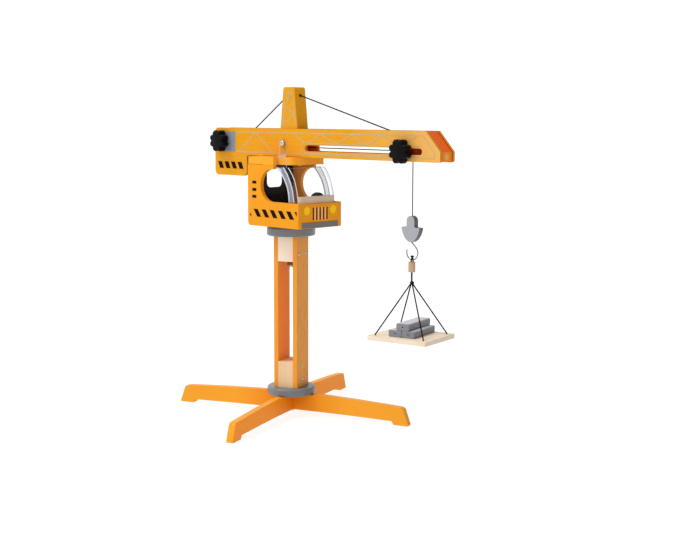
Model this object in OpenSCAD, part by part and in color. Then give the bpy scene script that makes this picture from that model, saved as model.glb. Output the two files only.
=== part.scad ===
// Toy tower crane: a cross-legged mast, a slewing cab with a jib, a winch, a trolley and a hanging load.
// Millimetres. The origin is on the mast's axis at the floor, +X runs out along the jib and +Z is up.

/* [Base and mast] */
// reach of each leg from the mast's axis
leg_r = 220; // [205:1:230]
// thickness of the two leg boards
leg_t = 12; // [10:0.5:14]
// turn of the legs and mast against the jib, in degrees
mast_turn = 20; // [0:1:45]
// radius of the base disc and of the slewing disc
disc_r = 41.5; // [38:0.5:46]
// width of the square mast
mast_w = 44; // [40:1:48]
// thickness of the mast's two side panels
mast_t = 8; // [7:0.5:10]

/* [Cab] */
// outside width of the cab
cab_w = 100; // [96:1:104]
// thickness of the cab's side panels
side_t = 7; // [6:0.5:7]
// radius of the side openings
window_r = 27.4; // [24:0.2:28]
// radius of the steering wheel
wheel_r = 17; // [14:0.5:18]

/* [Jib] */
// reach of the jib's tip from the mast's axis
jib_tip = 341; // [338:1:350]
// overall thickness of the jib
jib_w = 34.5; // [34:0.5:36]
// thickness of each jib panel
jib_t = 5; // [4.5:0.5:6]
// height of the slot the trolley runs in
slot_h = 10; // [10:0.2:11]
// height of the peak above the floor
peak_z = 560; // [550:1:570]

/* [Knobs and ropes] */
// outside radius of the star knobs
knob_r = 19.5; // [17:0.5:20]
// radius of the hoist rope
rope_r = 0.85; // [0.6:0.05:0.95]
// radius of the stay cord
stay_r = 1.1; // [0.6:0.05:1.2]
// radius of the sling's loop and cords
sling_r = 1.15; // [0.8:0.05:1.2]

/* [Load] */
// length of the pallet
pallet_l = 106; // [100:1:110]
// width of the pallet
pallet_w = 92; // [86:1:96]
// width of a brick
brick_w = 22; // [18:0.5:24]
// length of a brick
brick_l = 72; // [60:1:76]
// height of a brick
brick_h = 11; // [9:0.5:12]

/* [Hidden] */
$fn = 64;

orange = [0.93, 0.55, 0.12];
pale_wood = [0.9, 0.75, 0.58];
grey = [0.5, 0.52, 0.56];
black = [0.06, 0.06, 0.07];
steel = [0.75, 0.76, 0.78];

run = 0.1;             // radial clearance of a turning fit
disc_z0 = 36;          // underside of the base disc
disc_z1 = 49;          // top of the base disc, foot of the mast
slew_z0 = 310.5;         // top of the mast, underside of the slewing disc
slew_z1 = 325;         // top of the slewing disc
cab_z0 = 327.5;        // underside of the cab
floor_z = 338.5;       // top of the cab's floor
sill_z = 369.3;        // top of the side panels beside the driver
side_z = 431.5;        // top of the side panels, underside of the roof
jib_z0 = 444;          // top of the roof, underside of the jib
jib_z1 = 491;          // top of the jib
cab_x0 = -53.8;
cab_x1 = 70.2;
cab_in = cab_w / 2 - side_t;   // inside half width of the cab
gap = jib_w / 2 - jib_t;       // inside half width of the jib
slot_z = 459.5;
winch_x = -156;
winch_z = 468;
coil_r = 7.2;          // radius at which the rope leaves the winch
knob_x = 269;
drop_x = 272.75;       // rope's drop
swing_z = 451.4;       // height at which the drop leaves the trolley
visor_z = 466;         // height of the visor's pivot
wheel_y = 10;
wheel_z = 368.5;
peak_x = 8;
stay_z = 546;
load_turn = 10;        // lay of the pallet
pallet_z = 173;        // top of the pallet
pallet_t = 7;
knot_z = 253.5;
loop_r = sling_r + 1.15;   // bend of the sling's loop over the hook
knot_bore_z = pallet_z - pallet_t + 3.6;   // top of the recesses under the pallet

// How far the mast stands behind the middle of the whole crane.
mast_x = -(jib_tip - leg_r * cos(mast_turn) - leg_t / 2 * sin(mast_turn)) / 2;

// Puts a part, drawn about the mast's axis, so that the whole crane is centred.
module in_row() {
  translate([mast_x, 0, 0])
    children();
}

// Points of an arc, from angle a0 to a1, both included.
function arc(cx, cy, r, a0, a1, n) =
  [for (i = [0:n]) [cx + r * cos(a0 + (a1 - a0) * i / n), cy + r * sin(a0 + (a1 - a0) * i / n)]];

// A flat profile in X and Z, given thickness t, its near face at y.
module upright(y, t) {
  translate([0, y + t, 0])
    rotate([90, 0, 0])
      linear_extrude(height = t)
        children();
}

// A cylinder along Y from y0 to y1.
module along_y(x, z, r, y0, y1) {
  translate([x, y1, z])
    rotate([90, 0, 0])
      cylinder(r = r, h = y1 - y0);
}

// A cylinder along X from x0 to x1.
module along_x(y, z, r, x0, x1) {
  translate([x0, y, z])
    rotate([0, 90, 0])
      cylinder(r = r, h = x1 - x0);
}

// A straight round cord between two points.
module cord_between(p, q, r) {
  d = q - p;
  l = norm(d);
  translate(p)
    rotate([0, acos(d[2] / l), atan2(d[1], d[0])])
      cylinder(r = r, h = l, $fn = 16);
}

// ---------- base and mast ----------

// Half of a leg board's outline, from the hub out to the foot.
function leg_half() = concat(
  [[0, 8], [60, 8.2], [120, 7.6], [leg_r - 30.5, 6.2]],
  [[leg_r - 27, 0.8], [leg_r - 26, 0]],
  [[leg_r - 1, 0], [leg_r, 1.2]],
  arc(leg_r - 15.4, 23.5, 7, 20, 86, 4),
  [[leg_r - 40, 32], [120, 35.2], [60, 37.4], [disc_r + 5, 37.6]],
  [[disc_r + 3, 36.5], [disc_r + 1.5, disc_z0], [0, disc_z0]]);

module leg_outline() {
  p = leg_half();
  polygon(concat(p, [for (i = [len(p) - 2:-1:1]) [-p[i][0], p[i][1]]]));
}

module hub_hole() {
  translate([0, 0, -1])
    cylinder(r = 3 + run, h = 90);
}

module leg_board_a() {
  color(orange) in_row()
    rotate([0, 0, mast_turn])
      difference() {
        upright(-leg_t / 2, leg_t)
          leg_outline();
        translate([-leg_t / 2 - 0.05, -leg_t, 0])
          cube([leg_t + 0.1, 2 * leg_t, 22]);
        hub_hole();
      }
}

module leg_board_b() {
  color(orange) in_row()
    rotate([0, 0, mast_turn + 90])
      difference() {
        upright(-leg_t / 2, leg_t)
          leg_outline();
        translate([-leg_t / 2 - 0.05, -leg_t, 22])
          cube([leg_t + 0.1, 2 * leg_t, 30]);
        hub_hole();
      }
}

module hub_screw() {
  color(steel) in_row() {
    translate([0, 0, 5])
      cylinder(r = 5.5, h = 3);
    translate([0, 0, 8])
      cylinder(r = 3, h = 72);
  }
}

// A disc with softened rims and a bore.
module soft_disc(z0, z1, bore) {
  e = 3;
  difference() {
    rotate_extrude($fn = 96)
      polygon(concat(
        [[0, z0]],
        arc(disc_r - e, z0 + e, e, -90, 0, 4),
        arc(disc_r - e, z1 - e, e, 0, 90, 4),
        [[0, z1]]));
    translate([0, 0, z0 - 1])
      cylinder(r = bore, h = z1 - z0 + 2);
  }
}

module base_disc() {
  color(grey) in_row()
    soft_disc(disc_z0, disc_z1, 3 + run);
}

module slew_disc() {
  color(grey) in_row()
    soft_disc(slew_z0, slew_z1, 3.5 + run);
}

module mast_block(z0, z1, bore) {
  w = mast_w - 2 * mast_t;
  difference() {
    translate([-w / 2, -mast_w / 2, z0])
      cube([w, mast_w, z1 - z0]);
    translate([0, 0, z0 - 1])
      cylinder(r = bore, h = z1 - z0 + 2);
    mast_screw_shanks(1.5 + run);
  }
}

module mast_screw_shanks(r) {
  for (s = [-1, 1])
    for (p = [[-13, 280], [13, 280], [0, 62]])
      along_x(p[0], p[1], r, s > 0 ? 8 : -mast_w / 2 + 0.8, s > 0 ? mast_w / 2 - 0.8 : -8);
}

module mast_screw_heads(r) {
  for (s = [-1, 1])
    for (p = [[-13, 280], [13, 280], [0, 62]])
      along_x(p[0], p[1], r, s > 0 ? mast_w / 2 - 2.2 : -mast_w / 2 + 0.4,
        s > 0 ? mast_w / 2 - 0.4 : -mast_w / 2 + 2.2);
}

module mast_block_bottom() {
  color(pale_wood) in_row()
    rotate([0, 0, mast_turn])
      mast_block(disc_z1, 94, 3 + run);
}

module mast_block_top() {
  color(pale_wood) in_row()
    rotate([0, 0, mast_turn])
      mast_block(267, slew_z0, 3.5 + run);
}

module mast_panel(s) {
  difference() {
    translate([s > 0 ? mast_w / 2 - mast_t : -mast_w / 2, -mast_w / 2, disc_z1])
      cube([mast_t, mast_w, slew_z0 - disc_z1]);
    mast_screw_shanks(1.5 + run);
    for (p = [[-13, 280], [13, 280], [0, 62]])
      along_x(p[0], p[1], 3.5 + run, s > 0 ? mast_w / 2 - 2.2 : -mast_w / 2 - 1,
        s > 0 ? mast_w / 2 + 1 : -mast_w / 2 + 2.2);
  }
}

module mast_panel_left() {
  color(orange) in_row()
    rotate([0, 0, mast_turn])
      mast_panel(-1);
}

module mast_panel_right() {
  color(orange) in_row()
    rotate([0, 0, mast_turn])
      mast_panel(1);
}

module mast_screws() {
  color(steel) in_row()
    rotate([0, 0, mast_turn]) {
      mast_screw_shanks(1.5);
      mast_screw_heads(3.5);
    }
}

module pivot_bolt() {
  color(steel) in_row() {
    translate([0, 0, 256])
      cylinder(r = 3.5, h = 83);
    translate([0, 0, 339])
      cylinder(r = 7, h = 4.5);
  }
}

module pivot_washer() {
  color(steel) in_row()
    difference() {
      translate([0, 0, 265.4])
        cylinder(r = 9, h = 1.6);
      translate([0, 0, 264])
        cylinder(r = 3.5 + run, h = 4);
    }
}

module pivot_nut() {
  color(steel) in_row()
    difference() {
      translate([0, 0, 259.4])
        cylinder(r = 6.9, h = 6, $fn = 6);
      translate([0, 0, 258])
        cylinder(r = 3.5 + run, h = 9);
    }
}

module slew_washer() {
  color(pale_wood) in_row()
    difference() {
      translate([0, 0, slew_z1])
        cylinder(r = 19, h = cab_z0 - slew_z1);
      translate([0, 0, slew_z1 - 1])
        cylinder(r = 3.5 + run, h = 6);
    }
}

// ---------- cab ----------

module cab_floor() {
  color(pale_wood) in_row()
    difference() {
      translate([cab_x0, -cab_in, cab_z0])
        cube([cab_x1 - 6 - cab_x0, 2 * cab_in, floor_z - cab_z0]);
      translate([0, 0, cab_z0 - 1])
        cylinder(r = 3.5 + run, h = 20);
    }
}

module side_outline() {
  difference() {
    polygon(concat(
      arc(cab_x0 + 6, cab_z0 + 6, 6, 180, 270, 6),
      arc(cab_x1 - 1.5, cab_z0 + 1.5, 1.5, -90, 0, 2),
      arc(cab_x1 - 1.5, sill_z - 1.5, 1.5, 0, 90, 2),
      [[9.9, sill_z], [9.9, side_z], [cab_x0, side_z]]));
    translate([5.4, sill_z + window_r])
      circle(r = window_r);
    translate([5.4, sill_z])
      square([30, 2 * window_r]);
  }
}

module cab_side_near() {
  color(orange) in_row()
    upright(-cab_w / 2, side_t)
      side_outline();
}

module cab_side_far() {
  color(orange) in_row()
    upright(cab_w / 2 - side_t, side_t)
      side_outline();
}

// The rear window is a rounded opening behind the driver.
module cab_back() {
  color(black) in_row()
    difference() {
      translate([-43.5, -cab_in, floor_z])
        cube([4, 2 * cab_in, side_z - floor_z]);
      translate([-45, 0, 0])
        rotate([90, 0, 90])
          linear_extrude(height = 7)
            polygon(concat(
              arc(-10.9, 398.6, 8, 180, 270, 4),
              arc(10.9, 398.6, 8, 270, 360, 4),
              arc(10.9, 415, 8, 0, 90, 4),
              arc(-10.9, 415, 8, 90, 180, 4)));
    }
}

module cab_front() {
  color(orange) in_row()
    translate([cab_x1 - 6, -cab_in, cab_z0])
      cube([6, 2 * cab_in, 368 - cab_z0]);
}

module cab_dash() {
  color(pale_wood) in_row()
    difference() {
      translate([cab_x1 - 12, -39.6, floor_z])
        cube([6, 79.2, 380 - floor_z]);
      along_x(wheel_y, wheel_z, 2 + run, cab_x1 - 13, cab_x1 - 5);
    }
}

module steering_pin() {
  color(steel) in_row() {
    along_x(wheel_y, wheel_z, 2, 50.6, cab_x1 - 7);
    along_x(wheel_y, wheel_z, 3.6, 49, 50.6);
  }
}

module steering_wheel() {
  color(black) in_row()
    difference() {
      union() {
        along_x(wheel_y, wheel_z, wheel_r, 51, 56);
        along_x(wheel_y, wheel_z, 5, 56, 57.6);
      }
      along_x(wheel_y, wheel_z, 2 + run, 50, 59);
    }
}

module driver_seat() {
  color(black) in_row() {
    translate([-39.4, -17, floor_z])
      cube([29.4, 34, 13]);
    translate([-39.4, -17, floor_z + 13])
      cube([7, 34, 24]);
  }
}

// The roof is as wide as the cab behind the side openings and narrower in front of them.
module roof() {
  w = 39.5;
  color(orange) in_row()
    difference() {
      translate([0, 0, side_z])
        linear_extrude(height = jib_z0 - side_z)
          polygon(concat(
            arc(cab_x0 + 3, -cab_w / 2 + 3, 3, 180, 270, 3),
            [[9.9, -cab_w / 2], [9.9, -w]],
            arc(44 - 9, -w + 9, 9, -90, 0, 6),
            arc(44 - 9, w - 9, 9, 0, 90, 6),
            [[9.9, w], [9.9, cab_w / 2]],
            arc(cab_x0 + 3, cab_w / 2 - 3, 3, 90, 180, 3)));
      for (x = [-4, 20])
        translate([x, 0, side_z - 1])
          cylinder(r = 2 + run, h = 20);
    }
}

module roof_screws() {
  color(steel) in_row()
    for (x = [-4, 20]) {
      translate([x, 0, side_z - 2])
        cylinder(r = 4.2, h = 2);
      translate([x, 0, side_z])
        cylinder(r = 2, h = 23);
    }
}

// ---------- visor ----------

// Outside line of the visor's curved front, in X and Z, from the top down.
function visor_line(k) =
  [for (p = [[43.2, 427], [48.6, 420], [53.8, 412.4], [57.8, 406.3], [61.1, 399.6], [64, 392.3],
    [66, 384.5], [67.2, 377], [67.6, 370]]) [4 + (p[0] - 4) * k, 375 + (p[1] - 375) * k]];

module visor_cheek() {
  polygon(concat(
    [[11, 444.6], [36, 444.6], [40.6, 431]],
    visor_line(1),
    [[40.4, 370], [39, 386.7], [33, 402], [22.2, 416], [11, 426]]));
}

module visor_half() {
  t = 1.8;
  // side wall beside the roof
  upright(-42.3, t)
    visor_cheek();
  // web over the roof, rising towards the jib
  hull() {
    translate([11, -42.3, 443.8])
      cube([25, t, 1.8]);
    translate([-8, -19.3, 449.5])
      cube([18, 1.8, 1.8]);
  }
  // lug on the jib's side
  difference() {
    upright(-19.3, 1.8)
      union() {
        translate([0, visor_z])
          circle(r = 8.5);
        polygon([[-8, 449.5], [10, 449.5], [8.4, visor_z], [-8.4, visor_z]]);
      }
    along_y(0, visor_z, 3 + run, -22, -17);
  }
}

module visor() {
  color([0.85, 0.9, 0.92, 0.4]) in_row() {
    visor_half();
    mirror([0, 1, 0])
      visor_half();
    upright(-42.3, 84.6)
      polygon(concat(visor_line(1), [for (i = [8:-1:0]) visor_line(0.971)[i]]));
  }
}

module visor_screw(s) {
  y = s * jib_w / 2;
  along_y(0, visor_z, 2, min(y, y - s * (jib_t - 1)), max(y, y - s * (jib_t - 1)));
  along_y(0, visor_z, 3, min(y, s * 19.5), max(y, s * 19.5));
  along_y(0, visor_z, 5, min(s * 19.5, s * 21.5), max(s * 19.5, s * 21.5));
}

module visor_screws() {
  color(steel) in_row() {
    visor_screw(-1);
    visor_screw(1);
  }
}

// ---------- jib ----------

module jib_outline() {
  polygon(concat(
    arc(-177.4 + 9, 408 + 9, 9, 180, 270, 6),
    arc(-93 - 9, 408 + 9, 9, -90, 0, 6),
    [[-93, jib_z0 - 2], [-91, jib_z0]],
    arc(jib_tip - 3, jib_z0 + 3, 3, -90, 0, 4),
    [[jib_tip, 460.3], [jib_tip - 29, jib_z1]],
    arc(-177.4 + 8, jib_z1 - 8, 8, 90, 180, 6)));
}

module slot_outline() {
  translate([51 + slot_h / 2, slot_z])
    circle(d = slot_h);
  translate([305.5 - slot_h / 2, slot_z])
    circle(d = slot_h);
  translate([51 + slot_h / 2, slot_z - slot_h / 2])
    square([254.5 - slot_h, slot_h]);
}

module jib_panel(y) {
  difference() {
    upright(y, jib_t)
      difference() {
        jib_outline();
        slot_outline();
      }
    along_y(winch_x, winch_z, 4 + run, -30, 30);
    along_y(0, visor_z, 2 + run, y < 0 ? -30 : gap + 1, y < 0 ? -gap - 1 : 30);
  }
}

module jib_panel_near() {
  color(orange) in_row()
    jib_panel(-jib_w / 2);
}

module jib_panel_far() {
  color(orange) in_row()
    jib_panel(gap);
}

// Blocks between the panels.
module jib_tip_block() {
  color([0.85, 0.38, 0.1]) in_row()
    upright(-gap, 2 * gap)
      polygon([[314, jib_z0 + 1], [jib_tip - 1.5, jib_z0 + 1], [jib_tip - 1.5, 460.1],
        [jib_tip - 29.7, 490], [jib_tip - 45, 490], [jib_tip - 45, 472], [314, 472]]);
}

module jib_tail_block() {
  color(orange) in_row()
    upright(-gap, 2 * gap)
      polygon([[-172, 412], [-98, 412], [-98, 442], [-172, 442]]);
}

module jib_anchor(x) {
  difference() {
    translate([x - 8, -gap, 470])
      cube([16, 2 * gap, jib_z1 - 2 - 470]);
    translate([x, 0, 469])
      cylinder(r = stay_r + 0.5, h = 25);
  }
}

module jib_anchor_rear() {
  color(orange) in_row()
    jib_anchor(-89.5);
}

module jib_anchor_front() {
  color(orange) in_row()
    jib_anchor(227);
}

module mast_peak() {
  color(orange) in_row()
    difference() {
      upright(-gap, 2 * gap)
        polygon(concat(
          [[peak_x - 20.6, jib_z0], [peak_x + 20.6, jib_z0], [peak_x + 20.6, jib_z1]],
          arc(peak_x + 9.5, peak_z - 4, 4, 6, 90, 4),
          arc(peak_x - 9.5, peak_z - 4, 4, 90, 174, 4),
          [[peak_x - 20.6, jib_z1]]));
      along_x(0, 459.7, 2, peak_x - 30, peak_x + 30);
      along_x(0, stay_z, stay_r + 0.4, peak_x - 30, peak_x + 30);
      for (x = [-4, 20])
        translate([x, 0, jib_z0 - 1])
          cylinder(r = 2 + run, h = 12);
    }
}

// One cord, from the rear anchor through the peak to the front anchor.
module stay_cord() {
  a = [-89.5, 0, 490];
  b = [peak_x - 15.5, 0, stay_z];
  c = [peak_x + 15.5, 0, stay_z];
  d = [227, 0, 490];
  color(black) in_row() {
    cord_between(a, b, stay_r);
    cord_between(b, c, stay_r);
    cord_between(c, d, stay_r);
    for (p = [a, b, c, d])
      translate(p)
        rotate([25, 35, 15])
          sphere(r = stay_r + 0.35);
    for (x = [-89.5, 227])
      translate([x, 0, 472])
        cylinder(r = stay_r, h = 18);
  }
}

// ---------- winch ----------

module winch_axle() {
  color(pale_wood) in_row()
    along_y(winch_x, winch_z, 4, -jib_w / 2 - 4, jib_w / 2 + 2);
}

module winch_drum() {
  color(pale_wood) in_row()
    difference() {
      union() {
        along_y(winch_x, winch_z, 4.8, -gap + 1, gap - 1);
        along_y(winch_x, winch_z, 10, -gap + 1, -gap + 3);
        along_y(winch_x, winch_z, 10, gap - 3, gap - 1);
      }
      along_y(winch_x, winch_z, 4 + run / 2, -gap, gap);
    }
}

module hoist_coil() {
  color(black) in_row()
    difference() {
      along_y(winch_x, winch_z, 6.3, -gap + 3.1, gap - 3.1);
      along_y(winch_x, winch_z, 4.85, -gap, gap);
    }
}

// Star knob outside the near panel, its stem towards the jib.
module star_knob(x, z, bore, depth) {
  y1 = -jib_w / 2 - 0.5;
  difference() {
    union() {
      along_y(x, z, 8, y1 - 2.5, y1);
      upright(y1 - 16.5, 14)
        translate([x, z])
          union() {
            circle(r = knob_r - 4);
            for (i = [0:7])
              rotate(22.5 + 45 * i)
                translate([knob_r - 4.7, 0])
                  circle(r = 4.7, $fn = 32);
          }
    }
    along_y(x, z, bore, y1 - depth, y1 + 1);
  }
}

module winch_knob() {
  color(black) in_row()
    star_knob(winch_x, winch_z, 4.05, 3.6);
}

module winch_cap() {
  color(pale_wood) in_row()
    difference() {
      along_y(winch_x, winch_z, 8, jib_w / 2 + 0.5, jib_w / 2 + 6);
      along_y(winch_x, winch_z, 4.05, jib_w / 2, jib_w / 2 + 2.1);
    }
}

// ---------- trolley ----------

module trolley_block() {
  color([0.85, 0.38, 0.1]) in_row()
    difference() {
      translate([knob_x - 15, -gap + 0.4, 450.5])
        cube([32, 2 * gap - 0.8, 18]);
      along_x(0, slot_z, 1.4, knob_x - 16, drop_x + 1.4);
      translate([drop_x, 0, 449])
        cylinder(r = 1.4, h = slot_z - 449 + 1.4);
      along_y(knob_x, slot_z, 3 + run, -30, -4);
      along_y(knob_x, slot_z, 3 + run, 4, 30);
    }
}

module trolley_bolt() {
  color(steel) in_row()
    along_y(knob_x, slot_z, 3, -jib_w / 2 - 9, -5);
}

module trolley_bush() {
  color(pale_wood) in_row()
    difference() {
      along_y(knob_x, slot_z, slot_h / 2 - 0.2, -jib_w / 2 - 0.3, -gap + 0.35);
      along_y(knob_x, slot_z, 3 + run, -30, 0);
    }
}

module trolley_guide() {
  color(pale_wood) in_row() {
    along_y(knob_x, slot_z, 3, 5, gap - 0.4);
    along_y(knob_x, slot_z, slot_h / 2 - 0.2, gap - 0.4, jib_w / 2 + 0.5);
    along_y(knob_x, slot_z, 8, jib_w / 2 + 0.5, jib_w / 2 + 4);
  }
}

module trolley_knob() {
  color(black) in_row()
    star_knob(knob_x, slot_z, 3 + run, 9);
}

// ---------- hoist rope and hook ----------

// The rope's run along the jib, with its turn down inside the trolley.
module hoist_rope_run() {
  color(black) in_row() {
    cord_between([winch_x, 0, winch_z - coil_r], [drop_x, 0, slot_z], rope_r);
    translate([drop_x, 0, slot_z])
      rotate([25, 35, 15])
        sphere(r = rope_r + 0.3);
    translate([drop_x, 0, swing_z + 0.1])
      cylinder(r = rope_r, h = slot_z - swing_z - 0.1);
  }
}

// The rope's drop from the trolley into the hook block.
module hoist_rope_drop() {
  color(black) in_row()
    translate([drop_x, 0, 353])
      cylinder(r = rope_r, h = swing_z - 353);
}

module hook_block() {
  color(grey) in_row()
    difference() {
      upright(-4.5, 9)
        translate([drop_x, 0])
          polygon(concat(
            [[4, 319.6], [9.5, 323], [13.5, 328], [16.5, 334], [18.3, 340.3]],
            arc(16.9, 340.7, 1.4, 0, 90, 3),
            [[9.4, 342.1], [8, 343.5]],
            arc(0, 352, 8, 0, 180, 12),
            [[-8, 343.5], [-9.4, 342.1]],
            arc(-16.9, 340.7, 1.4, 90, 180, 3),
            [[-18.3, 340.3], [-16.5, 334], [-13.5, 328], [-9.5, 323], [-4, 319.6], [0, 318.8]]));
      translate([drop_x, 0, 352.5])
        cylinder(r = rope_r + 0.1, h = 10);
      translate([drop_x, 0, 310])
        cylinder(r = 1 + run, h = 15);
    }
}

// Bent wire: a stem in the block, a slanted shank and an open bowl.
module hook_wire() {
  c = [drop_x + 0.5, 0, 302.5];
  r = 11.3;
  bend = [c[0] + r * cos(45), 0, c[2] + r * sin(45)];
  color(steel) in_row() {
    translate([drop_x, 0, 318])
      cylinder(r = 1, h = 6.5);
    translate([drop_x, 0, 318])
      sphere(r = 1.3);
    cord_between([drop_x, 0, 318], bend, 1);
    translate(bend)
      sphere(r = 1.3);
    translate(c)
      rotate([90, 0, 0])
        rotate([0, 0, 160])
          rotate_extrude(angle = 244, $fn = 72)
            translate([r, 0])
              circle(r = 1);
  }
}

// Loop of cord over the hook's bowl, its legs in the bead.
module sling_loop() {
  color(black) in_row()
    translate([drop_x + 0.5, 0, 291.2]) {
      rotate([0, 0, 90])
        rotate([90, 0, 0])
          rotate_extrude(angle = 180, $fn = 48)
            translate([loop_r, 0])
              circle(r = sling_r, $fn = 16);
      for (s = [-1, 1])
        translate([0, loop_r * s, -11.2])
          cylinder(r = sling_r, h = 11.2, $fn = 16);
    }
}

module sling_bead() {
  color(pale_wood) in_row()
    difference() {
      translate([drop_x, 0, 272])
        cylinder(r = 5.5, h = 15.8);
      translate([drop_x, 0, 270])
        cylinder(r = 4, h = 20);
    }
}

// ---------- load ----------

// The pallet's corner holes, in the pallet's own lay.
module at_load() {
  translate([drop_x, 0, 0])
    rotate([0, 0, load_turn])
      children();
}

corner_x = pallet_l / 2 - 9.5;
corner_y = pallet_w / 2 - 9.5;

module sling_cords() {
  color(black) in_row()
    at_load() {
      for (s = [-1, 1])
        translate([s * (sling_r + 0.05), 0, knot_z])
          cylinder(r = sling_r, h = 24);
      translate([0, 0, knot_z])
        rotate([25, 35, 15])
          sphere(r = 2.5);
      for (i = [-1, 1])
        for (j = [-1, 1]) {
          cord_between([0, 0, knot_z], [i * corner_x, j * corner_y, pallet_z + 1.2], sling_r);
          translate([i * corner_x, j * corner_y, pallet_z + 1.2])
            rotate([25, 35, 15])
              sphere(r = sling_r + 0.35);
          translate([i * corner_x, j * corner_y, knot_bore_z - 1.1])
            cylinder(r = sling_r, h = pallet_z + 1.2 - (knot_bore_z - 1.1));
        }
    }
}

// End knots of the sling's cords, each in its recess under the pallet.
module sling_knots() {
  color(black) in_row()
    at_load()
      for (i = [-1, 1])
        for (j = [-1, 1])
          translate([i * corner_x, j * corner_y, knot_bore_z - 3.3])
            difference() {
              cylinder(r = 2.4, h = 3.1, $fn = 24);
              translate([0, 0, 2])
                cylinder(r = sling_r + 0.1, h = 2, $fn = 24);
            }
}

module pallet() {
  color(pale_wood) in_row()
    at_load()
      difference() {
        translate([0, 0, pallet_z - pallet_t])
          linear_extrude(height = pallet_t)
            polygon(concat(
              arc(pallet_l / 2 - 2, pallet_w / 2 - 2, 2, 0, 90, 3),
              arc(-pallet_l / 2 + 2, pallet_w / 2 - 2, 2, 90, 180, 3),
              arc(-pallet_l / 2 + 2, -pallet_w / 2 + 2, 2, 180, 270, 3),
              arc(pallet_l / 2 - 2, -pallet_w / 2 + 2, 2, 270, 360, 3)));
        for (i = [-1, 1])
          for (j = [-1, 1])
            translate([i * corner_x, j * corner_y, pallet_z - pallet_t - 1]) {
              cylinder(r = sling_r + 0.5, h = pallet_t + 2, $fn = 24);
              cylinder(r = 3, h = knot_bore_z - (pallet_z - pallet_t - 1), $fn = 24);
            }
      }
}

// A brick with broken edges and a small blind hole in each end.
module brick(x, y, z, turn) {
  e = 1.5;
  l = brick_l / 2;
  color(grey) in_row()
    translate([x, y, z])
      rotate([0, 0, turn])
        difference() {
          translate([0, l, 0])
            rotate([90, 0, 0])
              linear_extrude(height = 2 * l)
                polygon([[-brick_w / 2 + e, 0], [brick_w / 2 - e, 0], [brick_w / 2, e],
                  [brick_w / 2, brick_h - e], [brick_w / 2 - e, brick_h],
                  [-brick_w / 2 + e, brick_h], [-brick_w / 2, brick_h - e], [-brick_w / 2, e]]);
          along_y(0, brick_h / 2, 1.2, -l - 1, -l + 5);
          along_y(0, brick_h / 2, 1.2, l - 5, l + 1);
        }
}

module brick_left() {
  brick(drop_x - 0.5 - 11.3 * cos(14), 2.5 - 11.3 * sin(14), pallet_z + 0.05, 14);
}

module brick_right() {
  brick(drop_x - 0.5 + 11.3 * cos(14), 2.5 + 11.3 * sin(14), pallet_z + 0.05, 14);
}

module brick_top() {
  brick(drop_x + 2, 3, pallet_z + brick_h + 0.1, 13);
}

leg_board_a();
leg_board_b();
hub_screw();
base_disc();
mast_block_bottom();
mast_block_top();
mast_panel_left();
mast_panel_right();
mast_screws();
slew_disc();
pivot_bolt();
pivot_washer();
pivot_nut();
slew_washer();
cab_floor();
cab_side_near();
cab_side_far();
cab_back();
cab_front();
cab_dash();
driver_seat();
steering_pin();
steering_wheel();
roof();
roof_screws();
visor();
visor_screws();
jib_panel_near();
jib_panel_far();
jib_tip_block();
jib_tail_block();
jib_anchor_rear();
jib_anchor_front();
mast_peak();
stay_cord();
winch_axle();
winch_drum();
hoist_coil();
winch_knob();
winch_cap();
trolley_block();
trolley_bolt();
trolley_bush();
trolley_guide();
trolley_knob();
hoist_rope_run();
hoist_rope_drop();
hook_block();
hook_wire();
sling_loop();
sling_bead();
sling_cords();
sling_knots();
pallet();
brick_left();
brick_right();
brick_top();
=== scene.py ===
"""Looks of the toy tower crane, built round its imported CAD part.

Lengths in the drawing calls are millimetres from the mast's foot, as in the part's own source; at() turns them
into metres in the row frame.
"""
import math

import bmesh
import bpy
from mathutils import Matrix, Vector


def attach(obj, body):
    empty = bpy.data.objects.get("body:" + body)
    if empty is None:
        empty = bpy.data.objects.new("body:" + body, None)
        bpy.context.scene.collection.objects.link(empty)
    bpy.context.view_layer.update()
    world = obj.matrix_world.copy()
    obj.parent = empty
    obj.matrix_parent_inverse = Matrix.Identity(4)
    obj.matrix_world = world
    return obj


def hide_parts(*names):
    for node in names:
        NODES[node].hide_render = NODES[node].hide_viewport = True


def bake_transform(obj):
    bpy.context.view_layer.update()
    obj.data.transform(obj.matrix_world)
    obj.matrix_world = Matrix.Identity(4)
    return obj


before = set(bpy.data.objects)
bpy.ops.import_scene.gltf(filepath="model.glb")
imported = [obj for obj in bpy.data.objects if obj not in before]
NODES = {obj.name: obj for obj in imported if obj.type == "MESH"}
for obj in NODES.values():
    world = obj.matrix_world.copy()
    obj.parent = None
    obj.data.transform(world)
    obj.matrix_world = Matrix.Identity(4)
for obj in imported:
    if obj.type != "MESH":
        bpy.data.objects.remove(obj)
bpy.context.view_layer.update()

MAST_X = -66.108  # the mast's axis in the row frame
SPIN = math.radians(20)  # turn of the mast and legs against the jib
PALLET_TURN = math.radians(10)  # turn of the hanging pallet against the jib
WINCH_X, WINCH_Z = -156, 468  # the winch's axle
SLOT_Z = 459.5  # middle of the jib's slot, with the rope and the trolley's knob
STAY_END = -89.5  # where the stay cord goes down into its rear block
POST_X, STAY_Z = 8, 546  # the post's middle, and the stay cord's height through it
ROPE_X = 272.75  # the rope's drop, and the pallet under it
ROPE_TURN = 451.4  # where the rope's run ends and its drop begins
HOOK_X = 273.25  # the hook's wire, and the sling's loop on it
CORNERS = ((-1, -1), (1, -1), (1, 1), (-1, 1))  # signs of a rectangle's corners


def at(x, y, z):
    """Millimetres from the mast's foot in metres of the row frame."""
    return Vector(((x + MAST_X) / 1000, y / 1000, z / 1000))


# ---------------------------------------------------------------- camera, as fitted to the photograph

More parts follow.
